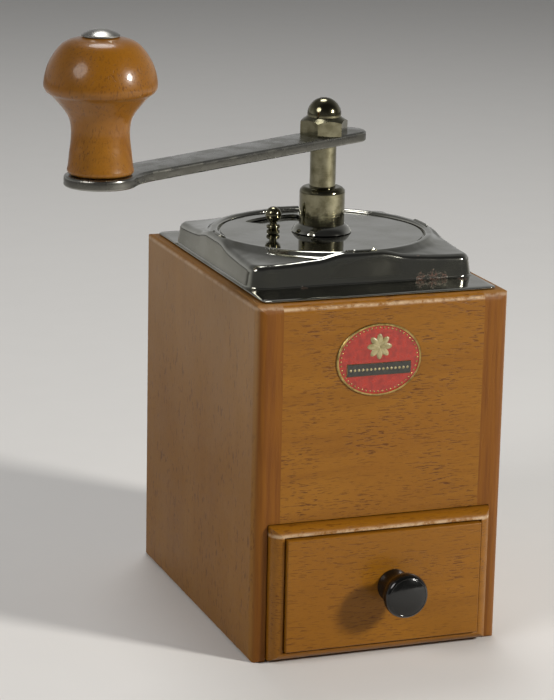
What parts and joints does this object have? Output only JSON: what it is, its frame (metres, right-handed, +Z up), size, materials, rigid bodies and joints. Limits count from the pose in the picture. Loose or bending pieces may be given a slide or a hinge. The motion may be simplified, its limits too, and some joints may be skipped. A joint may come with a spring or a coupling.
{
  "type": "poppy seed mill",
  "caption": "Hand-cranked seed mill: wooden box with a drawer, pressed steel cover with a turning lid, and a crank with a mushroom knob.",
  "frame": {"origin": "on the table, under the middle of the box's base board", "axes": "+Z up along the crank shaft, -Y out of the face with the drawer, +X to the right of someone facing the drawer"},
  "size_m": [0.1734, 0.1542, 0.2329],
  "materials": {
    "side_wood": "amber lacquered beech, satin",
    "front_wood": "amber lacquered beech, glossy",
    "drawer_wood": "amber lacquered beech, glossy",
    "plain_wood": "bare beech",
    "knob_wood": "turned beech, worn gloss lacquer",
    "plated_steel": "bright nickel plate, fine scratches",
    "nickel_brass": "worn nickel over brass",
    "arm_steel": "worn satin steel",
    "plain_steel": "turned steel",
    "burr_steel": "hardened steel",
    "cast_iron": "bare cast iron",
    "black_gloss": "black moulded resin, polished",
    "badge_enamel": "red and black enamel on a thin brass plate"
  },
  "bodies": {
    "case": {"left_side_board": "side_wood", "right_side_board": "side_wood", "front_board": "front_wood", "back_board": "front_wood", "base_board": "plain_wood", "mill_shelf": "plain_wood", "cover_plate": "plated_steel", "top_bearing": "nickel_brass", "bearing_nut": "plain_steel", "lid_washer": "plated_steel", "hopper_bowl": "plain_steel", "burr_housing": "cast_iron", "housing_screws": "plain_steel", "outer_burr": "burr_steel", "lower_bridge": "cast_iron", "tie_studs": "plain_steel", "tie_nuts": "plain_steel", "badge_plate": "badge_enamel"},
    "crank": {"spindle": "plain_steel", "inner_burr": "burr_steel", "burr_pin": "plain_steel", "crank_arm": "arm_steel", "cap_nut": "plated_steel", "knob_pin": "plated_steel"},
    "knob": {"crank_knob": "knob_wood"},
    "lid": {"lid_disc": "plated_steel", "lid_knob": "nickel_brass"},
    "drawer": {"drawer_front": "drawer_wood", "drawer_left_side": "plain_wood", "drawer_right_side": "plain_wood", "drawer_back": "plain_wood", "drawer_bottom": "plain_wood", "drawer_knob": "black_gloss", "drawer_knob_screw": "plain_steel"},
    "adjuster": {"adjusting_wheel": "nickel_brass", "adjuster_spring": "plain_steel"}
  },
  "joints": [
    {"name": "crank_turn", "type": "hinge", "parent": "case", "child": "crank", "pos_m": [0, 0, 0.134], "axis": [0, 0, 1], "continuous": true},
    {"name": "knob_spin", "type": "hinge", "parent": "crank", "child": "knob", "pos_m": [-0.10497, -0.05939, 0.2], "axis": [0, 0, 1], "continuous": true},
    {"name": "lid_turn", "type": "hinge", "parent": "case", "child": "lid", "pos_m": [0, 0, 0.144], "axis": [0, 0, 1], "range_deg": [0, 95]},
    {"name": "drawer_slide", "type": "slide", "parent": "case", "child": "drawer", "axis": [0, -1, 0], "range_m": [0, 0.095]},
    {"name": "adjuster_turn", "type": "hinge", "parent": "case", "child": "adjuster", "pos_m": [0, 0, 0.06], "axis": [0, 0, 1], "range_deg": [-150, 150]}
  ]
}
